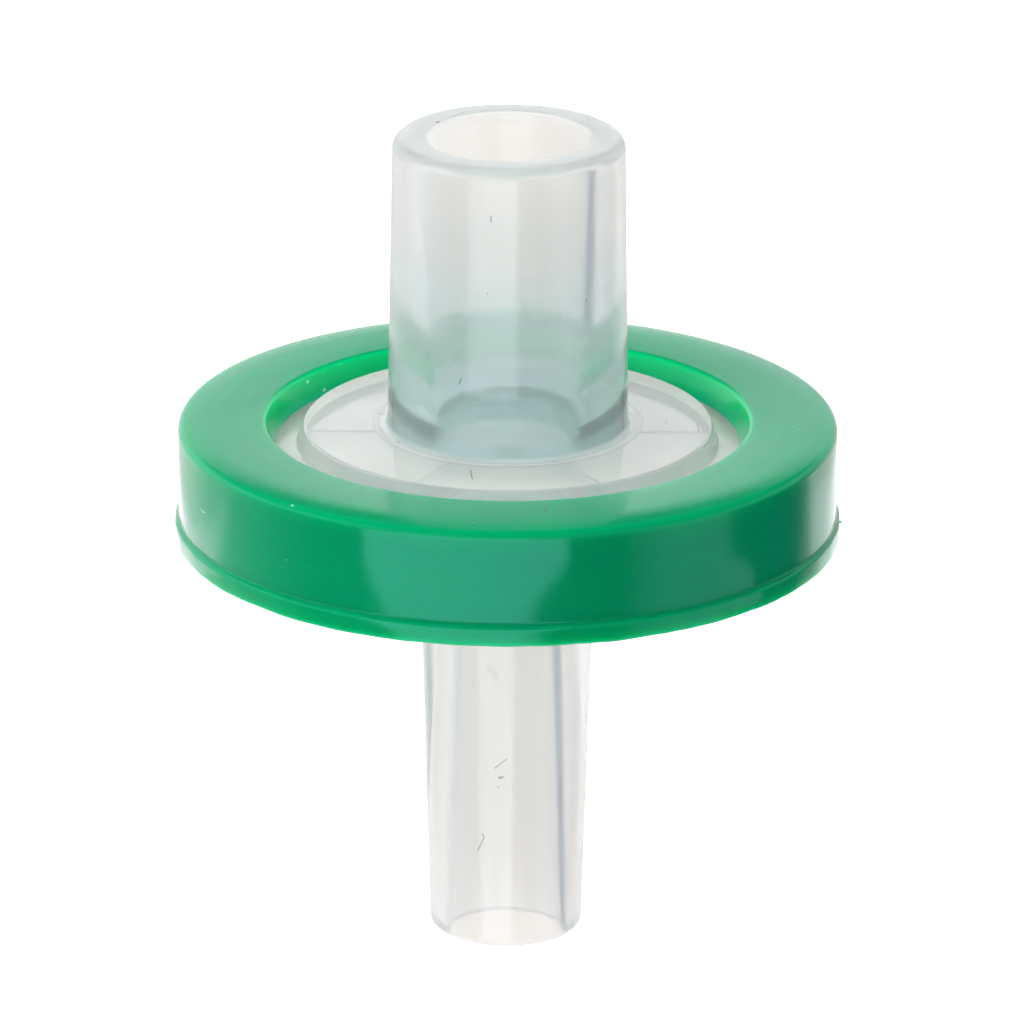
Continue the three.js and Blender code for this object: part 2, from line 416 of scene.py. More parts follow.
wall_radius = flange_radius - WALL_INSET
PALE_SPECKS = [
    (place(-40, 8.50, 14.03), place(-39.8, 8.50, 14.03), 0.05, 0.9),
    (place(-66.6, wall_radius, 12.83), place(-66, wall_radius, 12.76), 0.03, 0.5),
    (place(-66, wall_radius, 12.76), place(-65, wall_radius, 12.8), 0.03, 0.5),
    (place(-127.7, 6.1, 13.62), place(-127.0, 6.1, 13.6), 0.06, 0.6),
    (place(-122.4, 6.25, 13.97), place(-121.9, 6.25, 13.95), 0.06, 0.6),
    (place(-13, 8.33, 14.06), place(-12.8, 8.33, 14.06), 0.05, 0.5),
    (place(-6.2, 8.03, 14.11), place(-6.0, 8.03, 14.11), 0.04, 0.4),
]
DARK_SPECKS = [
    (place(7.8, 6.94, band_top), place(7.9, 7.36, band_top), 0.03, 0.7),
    (place(-59.7, 8.06, 14.1), place(-59.2, 8.12, 14.09), 0.06, 0.6),
    (place(88, flange_radius + 0.03, 11.4), place(88, flange_radius + 0.1, 11.4), 0.06, 0.9),
]
print(f"{len(PALE_SPECKS)} pale and {len(DARK_SPECKS)} dark specks")


# %% Turning lines
def along_the_lathe(tree, point, radius, height):
    """The point, changed so that a noise runs far round the band and a short way across it."""
    profile = add_node(tree, "ShaderNodeMath", {"operation": "SUBTRACT"}, i0=radius, i1=height)
    across = add_node(tree, "ShaderNodeCombineXYZ", X=0.0, Y=0.0, Z=profile.outputs[0])
    lathe = add_node(
        tree, "ShaderNodeVectorMath", {"operation": "MULTIPLY_ADD"},
        i0=point, i1=(TURNING_STRETCH, TURNING_STRETCH, 0), i2=across.outputs[0],
    )
    return lathe.outputs[0]


# %% Green polypropylene
def green_polypropylene():
    """The band's material: two close greens, the painted glow of the lip, specks and dust."""
    material, tree, shader = new_material("green_moulded_polypropylene")
    point, radius, height = places(tree)
    lathe = along_the_lathe(tree, point, radius, height)
    cloud, streak = (
        add_node(
            tree, "ShaderNodeTexNoise", Vector=vector, Scale=1 / size, Detail=2.0
        ).outputs["Fac"]
        for vector, size in ((point, PIGMENT_CLOUD), (lathe, TURNING_PITCH))
    )
    shade = add_node(tree, "ShaderNodeMix", i0=STREAK_SHARE, i2=cloud, i3=streak).outputs[0]
    colour = add_node(
        tree, "ShaderNodeMix", {"data_type": "RGBA"},
        i0=shade, i6=linear(GREEN[0]), i7=linear(GREEN[1]),
    )
    grains = add_node(tree, "ShaderNodeTexVoronoi", Vector=point, Scale=1 / DUST_SPACING)
    dust = add_node(
        tree, "ShaderNodeMapRange", Value=grains.outputs["Distance"],
        From_Min=0.0, From_Max=DUST_RADIUS / DUST_SPACING, To_Min=DUST_COVER, To_Max=0.0,
    )
    pale = add_node(
        tree, "ShaderNodeMath", {"operation": "MAXIMUM"},
        i0=dust.outputs[0], i1=scuffed(tree, point, PALE_SPECKS),
    )
    # painted glow: the lip's colour is brightened for the light that shines through it
    painted_lip_glow = add_node(
        tree, "ShaderNodeMapRange", {"interpolation_type": "SMOOTHSTEP"},
        Value=radius, From_Min=PAINTED_GLOW_RADII[0], From_Max=PAINTED_GLOW_RADII[1],
    )
    for cover, hex_colour in (
        (painted_lip_glow.outputs[0], PAINTED_GLOW_LIP_GREEN),
        (pale.outputs[0], PALE_SPECK),
        (scuffed(tree, point, DARK_SPECKS), DARK_SPECK),
    ):
        colour = add_node(
            tree, "ShaderNodeMix", {"data_type": "RGBA"},
            i0=cover, i6=colour.outputs[2], i7=linear(hex_colour),
        )
    tree.links.new(colour.outputs[2], shader.inputs["Base Color"])
    relief(
        tree, shader,
        uneven(tree, lathe, TURNING_PITCH, TURNING_DEPTH),
        uneven(tree, point, WALL_WAVE, WALL_WAVE_DEPTH),
        uneven(tree, point, GREEN_GRAIN, GREEN_GRAIN_DEPTH),
    )
    shader.inputs["Roughness"].default_value = GREEN_ROUGHNESS
    shader.inputs["IOR"].default_value = POLYPROPYLENE_IOR
    shader.inputs["Specular Tint"].default_value = linear(GREEN_SHEEN)
    shader.inputs["Subsurface Weight"].default_value = 1.0
    shader.inputs["Subsurface Radius"].default_value = GLOW_RADIUS
    shader.inputs["Subsurface Scale"].default_value = GLOW_REACH * MM
    return material


# %% [markdown]
# ## The clear plastic
# Polypropylene without colouring is called natural: clear as thin film, slightly milky in a wall of
# a millimetre, because its crystals scatter light. Principled with transmission gives the clear
# part, and a share of Translucent gives the milk. A volume would be truer, but it needs many more
# samples. Core pins that shape the bores are rougher than the polished outside of the mould.
#
# The blue-green at the tube's root, fainter higher up the tube, and in the sunk end of the bore, and
# the little green of the shell near the band, are painted light: green light from the band, seen
# through the plastic, painted into the tints. The rounded rim catches the light, the disc and the
# root are clearer than the tube, so that the ribs and the bore's floor show, and the sunk end of the
# bore is matt. Each of these zones is a soft step over a height or a radius.

# %% Patterns of the clear plastic, lengths in millimetres
FLOW_WAVE = 1.0
FLOW_STRETCH = 0.25  # the plastic flows along the tubes, so its waves are four times as long there
FLOW_DEPTH = 0.007
CORE_GRAIN = 0.14  # the core pin's grain is nearer 0.03 mm, drawn coarser so that it shows
CORE_GRAIN_DEPTH = 0.004
HAZE_RANGE = (0.3, 0.7)  # the noise hardly goes past these
ROUGHNESS_RANGE = (0.015, 0.05)

# %% Tints of the clear plastic
NEUTRAL = "#FFFFFF"
CLEAR_TINT = "#FFFDFB"
MILK_SHARE = 0.26
CLEARNESS = 0.9  # the rest of the light is scattered at the surface
SCUFF_GREY = "#4A4A48"

# Zones of the upper shell: what is measured, where the zone begins and where it is full in
# millimetres, the part that it covers, and there the clear tint, the milk's tint, the milk's share
# and the clearness. Later zones lie over earlier ones. Their green and teal tints are painted light:
# green light from the band, seen through the plastic.
TINTS_AND_PAINTED_LIGHT_ZONES = [
    ("radius", 3.3, 3.6, "shell", "#FCFFFD", "#F8FFFD", 0.18, 0.9),
    ("radius", 5.3, 5.8, "shell", "#F6FFF9", "#F1FFF7", 0.3, 0.9),
    ("height", socket_rim - 0.3, socket_rim - 0.1, "socket", NEUTRAL, NEUTRAL, 0.28, 0.8),
    ("height", 19.2, 18.4, "socket", "#FDFFFF", "#F9FFFF", 0.3, 0.9),
    ("height", 16.9, 15.5, "socket", "#F3FEFF", "#ECFFFF", 0.13, 0.8),
    ("height", disc_face + 0.15, disc_face, "bore", "#E2FFFF", "#D4FFFF", 0.16, 0.55),
    ("height", inlet_rim_face + 0.08, inlet_rim_face, "bore", NEUTRAL, NEUTRAL, 0.4, 0.35),
]

# %% Scuffs on the shells
SCUFFS = [
    (on_socket(-8.5, 20.64), on_socket(-8.5, 20.49), 0.028, 0.8),
    (on_socket(-10.1, 18.58), on_socket(-10.1, 18.54), 0.03, 0.5),
    (on_socket(40.7, 18.18), on_socket(40.7, 18.14), 0.03, 0.6),
    (on_socket(-22.7, 16.21), on_socket(-23.8, 16.06), 0.03, 0.7),
    (place(-124, 2.2, socket_rim), place(-121.5, 2.2, socket_rim), 0.06, 0.7),
    (place(-139, 2.22, socket_rim), place(-152, 2.42, socket_rim), 0.022, 0.6),
    (on_disc(-100.6, 3.4), on_disc(-98.9, 3.3), 0.04, 0.8),
    (on_disc(-123.7, 3.93), on_disc(-123.0, 3.93), 0.035, 0.5),
    (on_disc(-60.8, 3.28), on_disc(-60.0, 3.28), 0.05, 0.9),
    (on_disc(-14.4, 3.86), on_disc(-11.5, 4.52), 0.03, 1.0),
    (on_disc(90.1, 4.14), on_disc(91.0, 4.14), 0.045, 0.9),
    (on_disc(100.6, 3.3), on_disc(101.5, 3.3), 0.045, 0.7),
    (on_disc(19.6, 3.3), on_disc(23.2, 3.28), 0.03, 0.6),
    (on_disc(89.7, 4.93), on_disc(81.6, 5.02), 0.025, 0.8),
    (place(-65.1, 5.49, 13.49), place(-61.5, 5.49, 13.49), 0.05, 0.8),
    (place(-72.1, 5.64, inlet_rim_face), place(-74.7, 5.52, inlet_rim_face), 0.035, 0.6),
    (place(87.9, 5.55, inlet_rim_face), place(87.2, 5.56, inlet_rim_face), 0.05, 0.7),
    (on_spigot(-8.1, 5.16), on_spigot(0, 5.43), 0.025, 0.8),
    (on_spigot(-5.0, 4.89), on_spigot(-2.7, 4.91), 0.05, 0.9),
    (on_spigot(-5.8, 4.63), on_spigot(-5.4, 4.61), 0.03, 0.5),
    (on_spigot(-17.0, 3.25), on_spigot(-16.1, 3.16), 0.025, 0.8),
    (on_spigot(-16.1, 3.16), on_spigot(-20.9, 2.75), 0.025, 0.8),
    (on_spigot(74.2, 6.06), on_spigot(73.7, 5.90), 0.05, 0.8),
    (on_spigot(-12.2, 8.02), on_spigot(-7.5, 7.74), 0.16, 0.12),
]
print(f"{len(SCUFFS)} scuffs, {len(TINTS_AND_PAINTED_LIGHT_ZONES)} zones")

# %% Parts of the shells
SEAM = 0.01
SOCKET_FOOT = 0.3  # the socket's rounded foot stays within this of its wall
CHAMBER_MARGIN = 0.1


def shell_parts(tree, radius, height):
    """Marks the bores of both shells, and the upper shell, its socket and its bore by name."""
    bore_limit = add_node(
        tree, "ShaderNodeMapRange",
        Value=height, From_Min=parting_plane, From_Max=parting_plane + SEAM,
        To_Min=SPIGOT_TIP_RADIUS - SPIGOT_WALL / 2, To_Max=socket_outer - SOCKET_WALL / 2,
    ).outputs[0]
    in_bore, in_tube = (
        add_node(tree, "ShaderNodeMath", {"operation": "LESS_THAN"}, i0=radius, i1=limit).outputs[0]
        for limit in (bore_limit, socket_outer + SOCKET_FOOT)
    )
    upper = add_node(
        tree, "ShaderNodeMath", {"operation": "GREATER_THAN"},
        i0=height, i1=inlet_ceiling + CHAMBER_MARGIN,
    ).outputs[0]
    socket, bore = (
        add_node(tree, "ShaderNodeMath", {"operation": "MULTIPLY"}, i0=inside, i1=upper).outputs[0]
        for inside in (in_tube, in_bore)
    )
    return in_bore, {"shell": upper, "socket": socket, "bore": bore}


# %% Tints by zone
def zoned(tree, measures, parts):
    """The clear tint and the milk's tint, which carry the painted green light of the zones, the
    milk's share and the clearness at each point.
    """
    tints = [linear(CLEAR_TINT), linear(NEUTRAL)]
    shares = [MILK_SHARE, CLEARNESS]
    for measure, begin, full, part, *there in TINTS_AND_PAINTED_LIGHT_ZONES:
        step = add_node(
            tree, "ShaderNodeMapRange", {"interpolation_type": "SMOOTHSTEP"},
            Value=measures[measure], From_Min=begin, From_Max=full,
        )
        zone = add_node(
            tree, "ShaderNodeMath", {"operation": "MULTIPLY"}, i0=step.outputs[0], i1=parts[part]
        ).outputs[0]
        tints = [
            add_node(
                tree, "ShaderNodeMix", {"data_type": "RGBA"},
                i0=zone, i6=tint, i7=linear(zone_tint),
            ).outputs[2]
            for tint, zone_tint in zip(tints, there[:2])
        ]
        shares = [
            add_node(tree, "ShaderNodeMix", i0=zone, i2=share, i3=zone_share).outputs[0]
            for share, zone_share in zip(shares, there[2:])
        ]
    return *tints, *shares


# %% Natural polypropylene
def natural_polypropylene():
    """The material of both shells: clear, a little milky, tinted by zone with painted green light
    from the band, scuffed.
    """
    material, tree, shader = new_material("natural_moulded_polypropylene")
    point, radius, height = places(tree)
    in_bore, parts = shell_parts(tree, radius, height)
    measures = {"radius": radius, "height": height}
    clear_tint, milk_tint, milk_share, clearness = zoned(tree, measures, parts)
    scuffs = scuffed(tree, point, SCUFFS)
    tint, milk = (
        add_node(
            tree, "ShaderNodeMix", {"data_type": "RGBA"},
            i0=scuffs, i6=clean, i7=linear(SCUFF_GREY),
        ).outputs[2]
        for clean in (clear_tint, milk_tint)
    )
    flow = add_node(
        tree, "ShaderNodeVectorMath", {"operation": "MULTIPLY"}, i0=point, i1=(1, 1, FLOW_STRETCH)
    ).outputs[0]
    core = add_node(
        tree, "ShaderNodeMath", {"operation": "MULTIPLY"},
        i0=in_bore, i1=uneven(tree, point, CORE_GRAIN, CORE_GRAIN_DEPTH),
    ).outputs[0]
    relief(tree, shader, uneven(tree, flow, FLOW_WAVE, FLOW_DEPTH), core)
    haze = add_node(tree, "ShaderNodeTexNoise", Vector=flow, Scale=1 / FLOW_WAVE, Detail=3.0)
    rough = add_node(
        tree, "ShaderNodeMapRange", Value=haze.outputs["Fac"],
        From_Min=HAZE_RANGE[0], From_Max=HAZE_RANGE[1],
        To_Min=ROUGHNESS_RANGE[0], To_Max=ROUGHNESS_RANGE[1],
    )
    tree.links.new(tint, shader.inputs["Base Color"])
    tree.links.new(rough.outputs[0], shader.inputs["Roughness"])
    tree.links.new(clearness, shader.inputs["Transmission Weight"])
    shader.inputs["IOR"].default_value = POLYPROPYLENE_IOR
    milky = add_node(tree, "ShaderNodeBsdfTranslucent", Color=milk)
    mix = add_node(
        tree, "ShaderNodeMixShader", Fac=milk_share, i1=shader.outputs[0], i2=milky.outputs[0]
    )
    tree.links.new(mix.outputs[0], tree.nodes["Material Output"].inputs["Surface"])
    return material


# %% [markdown]
# ## The membrane
# A thin sheet cast from a polymer so that it is full of holes far smaller than a hair. It looks
# like smooth white paper: the holes scatter all the light, so there is no gloss, and some comes
# through from behind. A fine felt of bumps and a faint cloud keep it from looking like paint.

# %% Microporous membrane
FELT = 0.1  # the pores are 0.45 micrometres, drawn as a felt coarse enough to show
FELT_DEPTH = 0.004
PAPER_CLOUD = 1.0
PAPER = ("#F2F2EE", "#FBFBFA")
PAPER_ROUGHNESS = 0.9
LIGHT_THROUGH = 0.4


def microporous_membrane():
    """The membrane's material: two whites, a felt of bumps, and light from behind."""
    material, tree, shader = new_material("microporous_membrane")
    point = places(tree)[0]
    cloud = add_node(tree, "ShaderNodeTexNoise", Vector=point, Scale=1 / PAPER_CLOUD, Detail=4.0)
    white = add_node(
        tree, "ShaderNodeMix", {"data_type": "RGBA"},
        i0=cloud.outputs["Fac"], i6=linear(PAPER[0]), i7=linear(PAPER[1]),
    )
    tree.links.new(white.outputs[2], shader.inputs["Base Color"])
    relief(tree, shader, uneven(tree, point, FELT, FELT_DEPTH, detail=3.0))
    shader.inputs["Roughness"].default_value = PAPER_ROUGHNESS
    glow = add_node(tree, "ShaderNodeBsdfTranslucent", Color=white.outputs[2])
    mix = add_node(
        tree, "ShaderNodeMixShader", Fac=LIGHT_THROUGH, i1=shader.outputs[0], i2=glow.outputs[0]
    )
    tree.links.new(mix.outputs[0], tree.nodes["Material Output"].inputs["Surface"])
    return material


# %% [markdown]
# ## The band
# The green band is moulded straight onto the two shells, so it has no joint: a C-shaped section
# that grips both rims, with a crown that falls away at the shoulder and a thin flange round its
# lower edge. The flange is where the two halves of the mould met, so it carries a trace of flash
# and a nub where the plastic was torn off. The shoulder has one small nick.

# %% The band's section
BAND_OPENING_DRAFT = 0.275
CROWN_WIDTH = 0.7
CROWN_DROP = 0.08
FLANGE_THICKNESS = 0.49
FLANGE_STEP = 0.08
CONTACT = 0.01  # gap to the shells, so that no two faces lie in one plane

opening_inside = shell_radius - BAND_OVERLAP
opening_outside = opening_inside + BAND_OPENING_DRAFT
flange_top = band_bottom + FLANGE_THICKNESS
band = turned(
    "band",
    [
        (shell_radius - CONTACT, outlet_rim_face + CONTACT),
        (shell_radius - CONTACT, inlet_rim_face - CONTACT),
        (opening_inside, inlet_rim_face - CONTACT),
        (opening_outside, band_top, 0.1),
        (wall_radius - CROWN_WIDTH, band_top, 0.22),
        (wall_radius, band_top - CROWN_DROP, 0.18),
        (wall_radius, flange_top + FLANGE_STEP, SOFT_EDGE),
        (flange_radius, flange_top, 0.05),
        (flange_radius, band_bottom, SOFT_EDGE),
        (opening_outside, band_bottom, 0.2),
        (opening_inside, outlet_rim_face + CONTACT),
    ],
)

# %% Flash on the flange
FLASH_SPACING = 0.9
FLASH_DEPTH = 0.05
FLASH_WIDTH = 0.08

flash_start = flange_radius - FLASH_WIDTH
edge = band.vertex_groups.new(name="flange edge")
edge.add(
    [v.index for v in band.data.vertices if math.hypot(v.co.x, v.co.y) > flash_start],
    1.0, "REPLACE",
)
ragged = bpy.data.textures.new("flash", "CLOUDS")
ragged.noise_scale = FLASH_SPACING
flash = band.modifiers.new("flash", "DISPLACE")
flash.texture = ragged
flash.texture_coords = "LOCAL"
flash.vertex_group = edge.name
flash.strength = FLASH_DEPTH
flash.mid_level = 0.5
select_only(band)
bpy.ops.object.modifier_apply(modifier=flash.name)
print(f"flash on {sum(1 for v in band.data.vertices if v.groups)} points")


# %% A nub and a nick
NUB_HEIGHT = 0.36  # above the band's underside
NICK_DROP = 0.06  # below the band's top
CONE_SIDES = 12
CONE_TAPER = 5


def small_cone(degrees, radius, height, base, length):
    """A small cone that points outwards from the axis, with the middle of it at that place."""
    bpy.ops.object.select_all(action="DESELECT")
    bpy.ops.mesh.primitive_cone_add(
        vertices=CONE_SIDES, radius1=base, radius2=base / CONE_TAPER, depth=length,
        location=place(degrees, radius, height),
        rotation=(0, math.pi / 2, math.radians(degrees - 90)),
    )
    cone = bpy.context.object
    bpy.ops.object.transform_apply(location=True, rotation=True)
    return cone


nub = small_cone(88, flange_radius, band_bottom + NUB_HEIGHT, base=0.07, length=0.13)
nick = small_cone(-111.5, wall_radius, band_top - NICK_DROP, base=0.05, length=0.14)
combine(band, nub, "UNION")
combine(band, nick, "DIFFERENCE")
finish_piece(band, green_polypropylene(), "overmould_band")

# %% [markdown]
# ## The inlet shell
# The upper shell is one moulding: the socket that a syringe pushes into, the raised disc, and the
# rim that the band holds. Its section is a single closed line, so it is turned like the band. The
# six ribs under the disc keep the liquid's way open over the membrane. They are straight bars, made
# once round the axis and joined to the shell as one body.

# %% The shell's section
SOCKET_FLOOR_WALL = 0.4
FLOOR_RECESS_RADIUS = 1.45
FLOOR_RECESS_DEPTH = 0.08
FLOOR_RECESS_DRAFT = 0.04
POCKET_WALL = 0.65  # wall of the pocket that holds the membrane's rim

pocket_radius = shell_radius - POCKET_WALL
socket_length = socket_rim - disc_face
socket_floor = inlet_ceiling + SOCKET_FLOOR_WALL
recess_floor = socket_floor - FLOOR_RECESS_DEPTH
clear = natural_polypropylene()

inlet = turned(
    "inlet_shell",
    [
        (PORT_RADIUS, inlet_ceiling, SOFT_EDGE),
        (CHAMBER_RADIUS, inlet_ceiling, SOFT_EDGE),
        (CHAMBER_RADIUS, membrane_top + CONTACT, 0.04),
        (pocket_radius, membrane_top + CONTACT),
        (pocket_radius, parting_plane + CONTACT, CRISP_EDGE),
        (shell_radius, parting_plane + CONTACT, CRISP_EDGE),
        (shell_radius, inlet_rim_face),
        (DISC_RADIUS + DISC_DRAFT, inlet_rim_face, SOFT_EDGE),
        (DISC_RADIUS, disc_face, 0.08),
        (socket_outer + SOCKET_DRAFT * socket_length, disc_face, 0.12),
        (socket_outer, socket_rim, 0.3),
        (SOCKET_MOUTH_RADIUS, socket_rim, SOFT_EDGE),
        (SOCKET_MOUTH_RADIUS - LUER_SLOPE * (socket_rim - socket_floor), socket_floor, 0.12),
        (FLOOR_RECESS_RADIUS, socket_floor, CRISP_EDGE),
        (FLOOR_RECESS_RADIUS - FLOOR_RECESS_DRAFT, recess_floor, CRISP_EDGE),
        (PORT_RADIUS, recess_floor, 0.05),
    ],
)


# %% Bars round the axis
def spoke_bars(count, first_angle, start, end, width, bottom, top):
    """Straight bars from near the axis outwards, joined in one mesh."""
    bars = []
    bpy.ops.object.select_all(action="DESELECT")
    for index in range(count):
        angle = first_angle + index * 2 * math.pi / count
        middle = (start + end) / 2
        bpy.ops.mesh.primitive_cube_add(
            size=1,
            location=(middle * math.cos(angle), middle * math.sin(angle), (bottom + top) / 2),
            rotation=(0, 0, angle),
            scale=(end - start, width, top - bottom),
        )
        bars.append(bpy.context.object)
    for bar in bars:
        bar.select_set(True)
    bpy.ops.object.join()
    joined = bpy.context.object
    bpy.ops.object.transform_apply(location=True, rotation=True, scale=True)
    return joined


# %% Six ribs under the disc
RIB_COUNT = 6
RIB_WIDTH = 0.4
RIB_START = 0.95
RIB_CLEARANCE = 0.08

ribs = spoke_bars(
    RIB_COUNT, 0, RIB_START, (CHAMBER_RADIUS + pocket_radius) / 2, RIB_WIDTH,
    membrane_top + RIB_CLEARANCE, (inlet_ceiling + inlet_rim_face) / 2,
)
combine(inlet, ribs, "UNION")
finish_piece(inlet, clear, "inlet_housing")

# %% [markdown]
# ## The outlet shell
# The lower shell carries the membrane on a grid of flat rings, crossed by channels that lead the
# filtered liquid to the port in the middle, and ends in the long spigot. The rings are part of the
# turned section. The channels are cut out of them with bars like the ribs.

# %% The shell's section
LUMEN_DRAFT = 0.03
LUMEN_END_WALL = 1.0
GRID_RINGS = 3
GRID_RING_WIDTH = 0.5

lumen_end = outlet_floor - LUMEN_END_WALL
lumen_tip = SPIGOT_TIP_RADIUS - SPIGOT_WALL
ring_pitch = (CHAMBER_RADIUS - PORT_RADIUS) / (GRID_RINGS + 1)
outlet_face = parting_plane - CONTACT
grid = []
for index in range(GRID_RINGS):
    middle = PORT_RADIUS + ring_pitch * (index + 1)
    inner, outer = middle - GRID_RING_WIDTH / 2, middle + GRID_RING_WIDTH / 2
    grid += [
        (inner, outlet_floor), (inner, outlet_face), (outer, outlet_face), (outer, outlet_floor),
    ]
outlet = turned(
    "outlet_shell",
    [
        (PORT_RADIUS, outlet_floor),
        *grid,
        (CHAMBER_RADIUS, outlet_floor),
        (CHAMBER_RADIUS, outlet_face),
        (shell_radius, outlet_face, CRISP_EDGE),
        (shell_radius, outlet_rim_face),
        (DISC_RADIUS + DISC_DRAFT, outlet_rim_face, SOFT_EDGE),
        (DISC_RADIUS, SPIGOT_LENGTH, 0.08),
        (SPIGOT_TIP_RADIUS + LUER_SLOPE * SPIGOT_LENGTH, SPIGOT_LENGTH, 0.3),
        (SPIGOT_TIP_RADIUS, 0, 0.2),
        (lumen_tip, 0, 0.05),
        (lumen_tip - LUMEN_DRAFT * lumen_end, lumen_end, 0.2),
        (PORT_RADIUS, lumen_end, SOFT_EDGE),
    ],
)

# %% Channels across the grid
GRID_CHANNELS = 6
GRID_CHANNEL_WIDTH = 0.6
GRID_CHANNEL_SINK = 0.1
GRID_CHANNEL_START = 0.54  # nearer the axis than this, the six bars would run into each other

channels = spoke_bars(
    GRID_CHANNELS, math.pi / GRID_CHANNELS, GRID_CHANNEL_START, CHAMBER_RADIUS - ring_pitch / 2,
    GRID_CHANNEL_WIDTH, outlet_floor - GRID_CHANNEL_SINK, membrane_top,
)
combine(outlet, channels, "DIFFERENCE")
finish_piece(outlet, clear, "outlet_housing")

# %% [markdown]
# ## The membrane disc
# A disc punched from the sheet, with its rim pinched between the shells and its middle free. It is
# a filled circle, extruded to its thickness. Insetting the top gives the line where the pinch ends,
# and the middle is raised a hair, because the pinched rim is pressed thinner. A small bevel stands
# for the edge that the punch leaves.

# %% The membrane
PINCH_DEPTH = 0.012
PINCH_SLOPE = 0.2
PUNCHED_EDGE = 0.02

bpy.ops.object.select_all(action="DESELECT")
bpy.ops.mesh.primitive_circle_add(
    vertices=TURN_SEGMENTS, radius=membrane_radius, fill_type="NGON",
    location=(0, 0, parting_plane),
)
membrane = bpy.context.object
membrane.name = "membrane"
bpy.ops.object.transform_apply(location=True)
edit(membrane)
bpy.ops.mesh.select_mode(type="FACE")
bpy.ops.mesh.select_all(action="SELECT")
bpy.ops.mesh.extrude_region_move(
    TRANSFORM_OT_translate={"value": (0, 0, membrane_top - parting_plane - PINCH_DEPTH)}
)
bpy.ops.mesh.inset(thickness=membrane_radius - CHAMBER_RADIUS)
bpy.ops.mesh.inset(thickness=PINCH_SLOPE)
bpy.ops.transform.translate(value=(0, 0, PINCH_DEPTH))
bpy.ops.mesh.select_mode(type="EDGE")
bpy.ops.mesh.select_all(action="SELECT")
bpy.ops.mesh.normals_make_consistent(inside=False)
for height in (parting_plane, membrane_top - PINCH_DEPTH):
    round_ring(membrane, membrane_radius, height, PUNCHED_EDGE, steps=3)
bpy.ops.object.mode_set(mode="OBJECT")
finish_piece(membrane, microporous_membrane(), "filter_membrane")

# %% [markdown]
# ## The light table
# Small clear parts are shot on a light table: an opal sheet that is lit from below, so the ground
# is white and nothing casts a shadow. The floor glows by itself. Reflections and refractions do not
# see it, because the world below stands for the same table with more control over its brightness.

# %% Floor
FLOOR_SIZE = 2.0  # metres
OPAL_ROUGHNESS = 0.9
OPAL_GLOW = 0.9

bpy.ops.mesh.primitive_plane_add(size=FLOOR_SIZE)
floor = bpy.context.object
floor.name = "floor"
opal, _, opal_shader = new_material("opal_sheet")
opal_shader.inputs["Base Color"].default_value = linear("#F4F4F4")
opal_shader.inputs["Roughness"].default_value = OPAL_ROUGHNESS
opal_shader.inputs["Emission Color"].default_value = linear("#FFFFFF")
opal_shader.inputs["Emission Strength"].default_value = OPAL_GLOW
opal.cycles.emission_sampling = "NONE"  # seen, but not sampled as a lamp
floor.data.materials.append(opal)
floor.visible_diffuse = False
floor.visible_glossy = False
floor.visible_transmission = False
floor.visible_shadow = False
print(f"floor {floor.dimensions.x:.0f} m wide")

# %% [markdown]
# ## The studio round it
# What a clear or glossy part shows is mostly the room bent or mirrored by it, so the room is drawn
# with care: the light table below, a ring of cards round the horizon, bright in front and behind
# and dark at the sides, and above them pale walls that end in a dark ceiling. The dark gaps give
# the tubes their grey streaks. A colour ramp holds the cards, and soft steps by height blend them
# into the walls and the table.

# %% Cards round the horizon
FRONT_CARD = (2.5, 2.7, 2.8)
BACK_CARD = (1.08, 1.01, 0.94)

# Edges of the cards: degrees from the front (right is positive), and radiance.
CARDS = [
    (-180, BACK_CARD),
    (-140, (1.3, 1.32, 1.3)),
    (-120, (1.0, 1.05, 1.05)),
    (-95, (0.5, 0.55, 0.55)),
    (-70, (0.1, 0.12, 0.12)),
    (-41, (0.1, 0.12, 0.12)),
    (-37, FRONT_CARD),
    (7, FRONT_CARD),
    (11, (0.05, 0.06, 0.06)),
    (40, (0.05, 0.06, 0.06)),
    (56, (0.9, 1.0, 1.1)),
    (80, (0.8, 0.9, 1.0)),
    (86, (0.03, 0.10, 0.18)),
    (122, (0.03, 0.10, 0.18)),
    (134, (1.15, 1.12, 1.1)),
    (180, BACK_CARD),
]
CARD_PEAK = 3.0  # a colour ramp holds up to 1, so the radiance is divided and multiplied back

world = bpy.data.worlds.new("studio")
bpy.context.scene.world = world
world.use_nodes = True
tree = world.node_tree
direction = add_node(tree, "ShaderNodeTexCoord").outputs["Generated"]
split = add_node(tree, "ShaderNodeSeparateXYZ", Vector=direction)
to_right, to_back, upwards = (split.outputs[axis] for axis in "XYZ")
forward = add_node(tree, "ShaderNodeMath", {"operation": "MULTIPLY"}, i0=to_back, i1=-1.0)
azimuth = add_node(
    tree, "ShaderNodeMath", {"operation": "ARCTAN2"}, i0=to_right, i1=forward.outputs[0]
)
turn = add_node(
    tree, "ShaderNodeMapRange", Value=azimuth.outputs[0], From_Min=-math.pi, From_Max=math.pi
)
ramp = add_node(tree, "ShaderNodeValToRGB", Fac=turn.outputs[0])
stops = ramp.color_ramp.elements
while len(stops) < len(CARDS):
    stops.new(0.5)
for stop, (degrees, radiance) in zip(stops, CARDS):
    stop.position = degrees / 360 + 0.5
    stop.color = [c / CARD_PEAK for c in radiance] + [1]
cards = add_node(
    tree, "ShaderNodeVectorMath", {"operation": "SCALE"},
    Vector=ramp.outputs["Color"], Scale=CARD_PEAK,
)
print(f"{len(stops)} card edges")

# %% The room above
ROOM_TINT = (0.98, 1.0, 1.04)
ROOM_KEY = Vector((-0.6, 0.8, -0.25)).normalized()  # the room is brightest behind, to the left
ROOM_LEVEL = 0.82
ROOM_SWING = 0.5
CEILING_RISE = (0.39, 0.53)  # the walls end and the ceiling begins, as sines of the angle upwards
CEILING_LEVEL = 0.08

